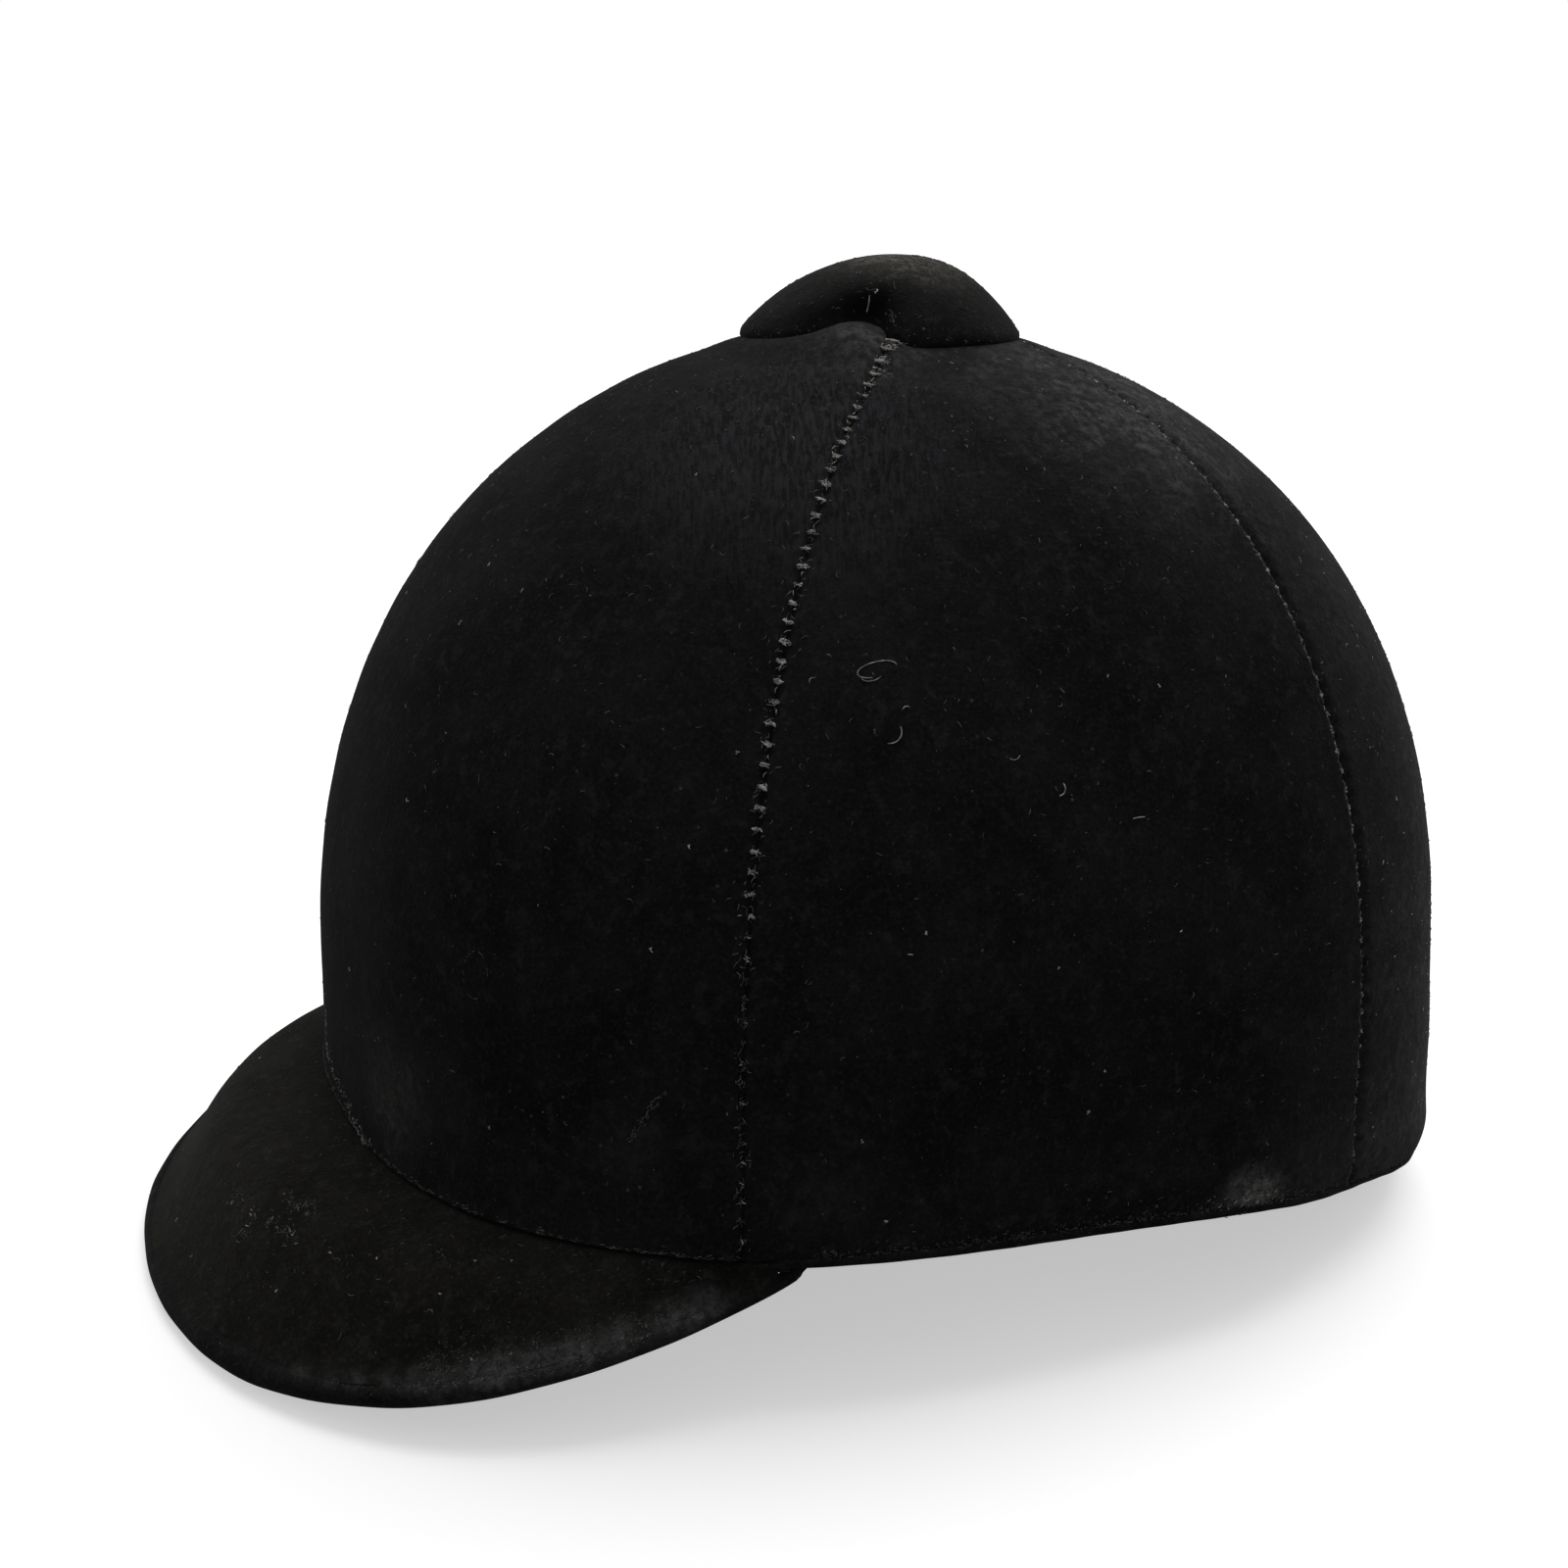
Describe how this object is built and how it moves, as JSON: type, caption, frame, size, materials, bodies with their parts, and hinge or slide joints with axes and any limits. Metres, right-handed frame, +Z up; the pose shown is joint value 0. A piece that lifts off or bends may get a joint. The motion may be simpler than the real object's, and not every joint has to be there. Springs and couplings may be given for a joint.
{
  "type": "hunt cap",
  "caption": "Rigid velvet-covered riding cap with a short down-turned visor, a covered crown button, a padded liner and a chin strap tucked up inside.",
  "frame": {"origin": "on the table below the middle of the cap's overall length, where the cap rests on the front of its visor and the back of its rim", "axes": "-X to the front, the visor's side; -Y to the wearer's left; +Z up"},
  "size_m": [0.3012, 0.217, 0.2119],
  "materials": {
    "velvet": "short dense black cotton velvet, faintly worn",
    "visor_velvet": "black velvet, a little flattened and greyed",
    "button_velvet": "black velvet, rubbed pale on top",
    "binding": "folded black velvet hem",
    "underlay_cloth": "close black cloth",
    "lining_cloth": "black knitted lining over soft foam",
    "webbing": "black woven webbing",
    "sweatband_leather": "soft black leather",
    "visor_board": "stiff moulded board",
    "shell_plastic": "moulded hard shell",
    "liner_foam": "dark expanded bead foam",
    "moulded_plastic": "moulded plastic",
    "buckle_plastic": "black moulded plastic",
    "steel": "plated steel"
  },
  "bodies": {
    "cap": {"hard_shell": "shell_plastic", "front_velvet_panel": "velvet", "left_velvet_panel": "velvet", "right_velvet_panel": "velvet", "rear_velvet_panel": "velvet", "rim_binding": "binding", "visor_board": "visor_board", "visor_top_velvet": "visor_velvet", "visor_underlay": "underlay_cloth", "visor_piping": "visor_velvet", "visor_rivets": "steel", "impact_liner": "liner_foam", "sweatband": "sweatband_leather", "brow_pad": "lining_cloth", "nape_pad": "lining_cloth", "left_side_pad": "lining_cloth", "right_side_pad": "lining_cloth", "crown_pad": "lining_cloth", "crown_grommet": "moulded_plastic", "button_core": "moulded_plastic", "button_velvet": "button_velvet", "button_screw": "steel", "screw_washer": "steel", "left_strap_hanger": "steel", "right_strap_hanger": "steel", "hanger_rivets": "steel", "strap_pivot_pins": "steel"},
    "chin_strap": {"left_chin_strap": "webbing", "right_chin_strap": "webbing", "buckle_plug": "buckle_plastic", "buckle_socket": "buckle_plastic", "chin_pad": "lining_cloth"},
    "left_slider": {"left_strap_slider": "buckle_plastic"},
    "right_slider": {"right_strap_slider": "buckle_plastic"}
  },
  "joints": [
    {"name": "chin_strap_swing", "type": "hinge", "parent": "cap", "child": "chin_strap", "pos_m": [0.01899, 0, 0.0352], "axis": [0, -1, 0], "range_deg": [0, 188]},
    {"name": "left_slider_travel", "type": "slide", "parent": "chin_strap", "child": "left_slider", "axis": [0.1344, 0.2588, 0.9565], "range_m": [0, 0.014]},
    {"name": "right_slider_travel", "type": "slide", "parent": "chin_strap", "child": "right_slider", "axis": [0.1344, -0.2588, 0.9565], "range_m": [0, 0.014]}
  ]
}
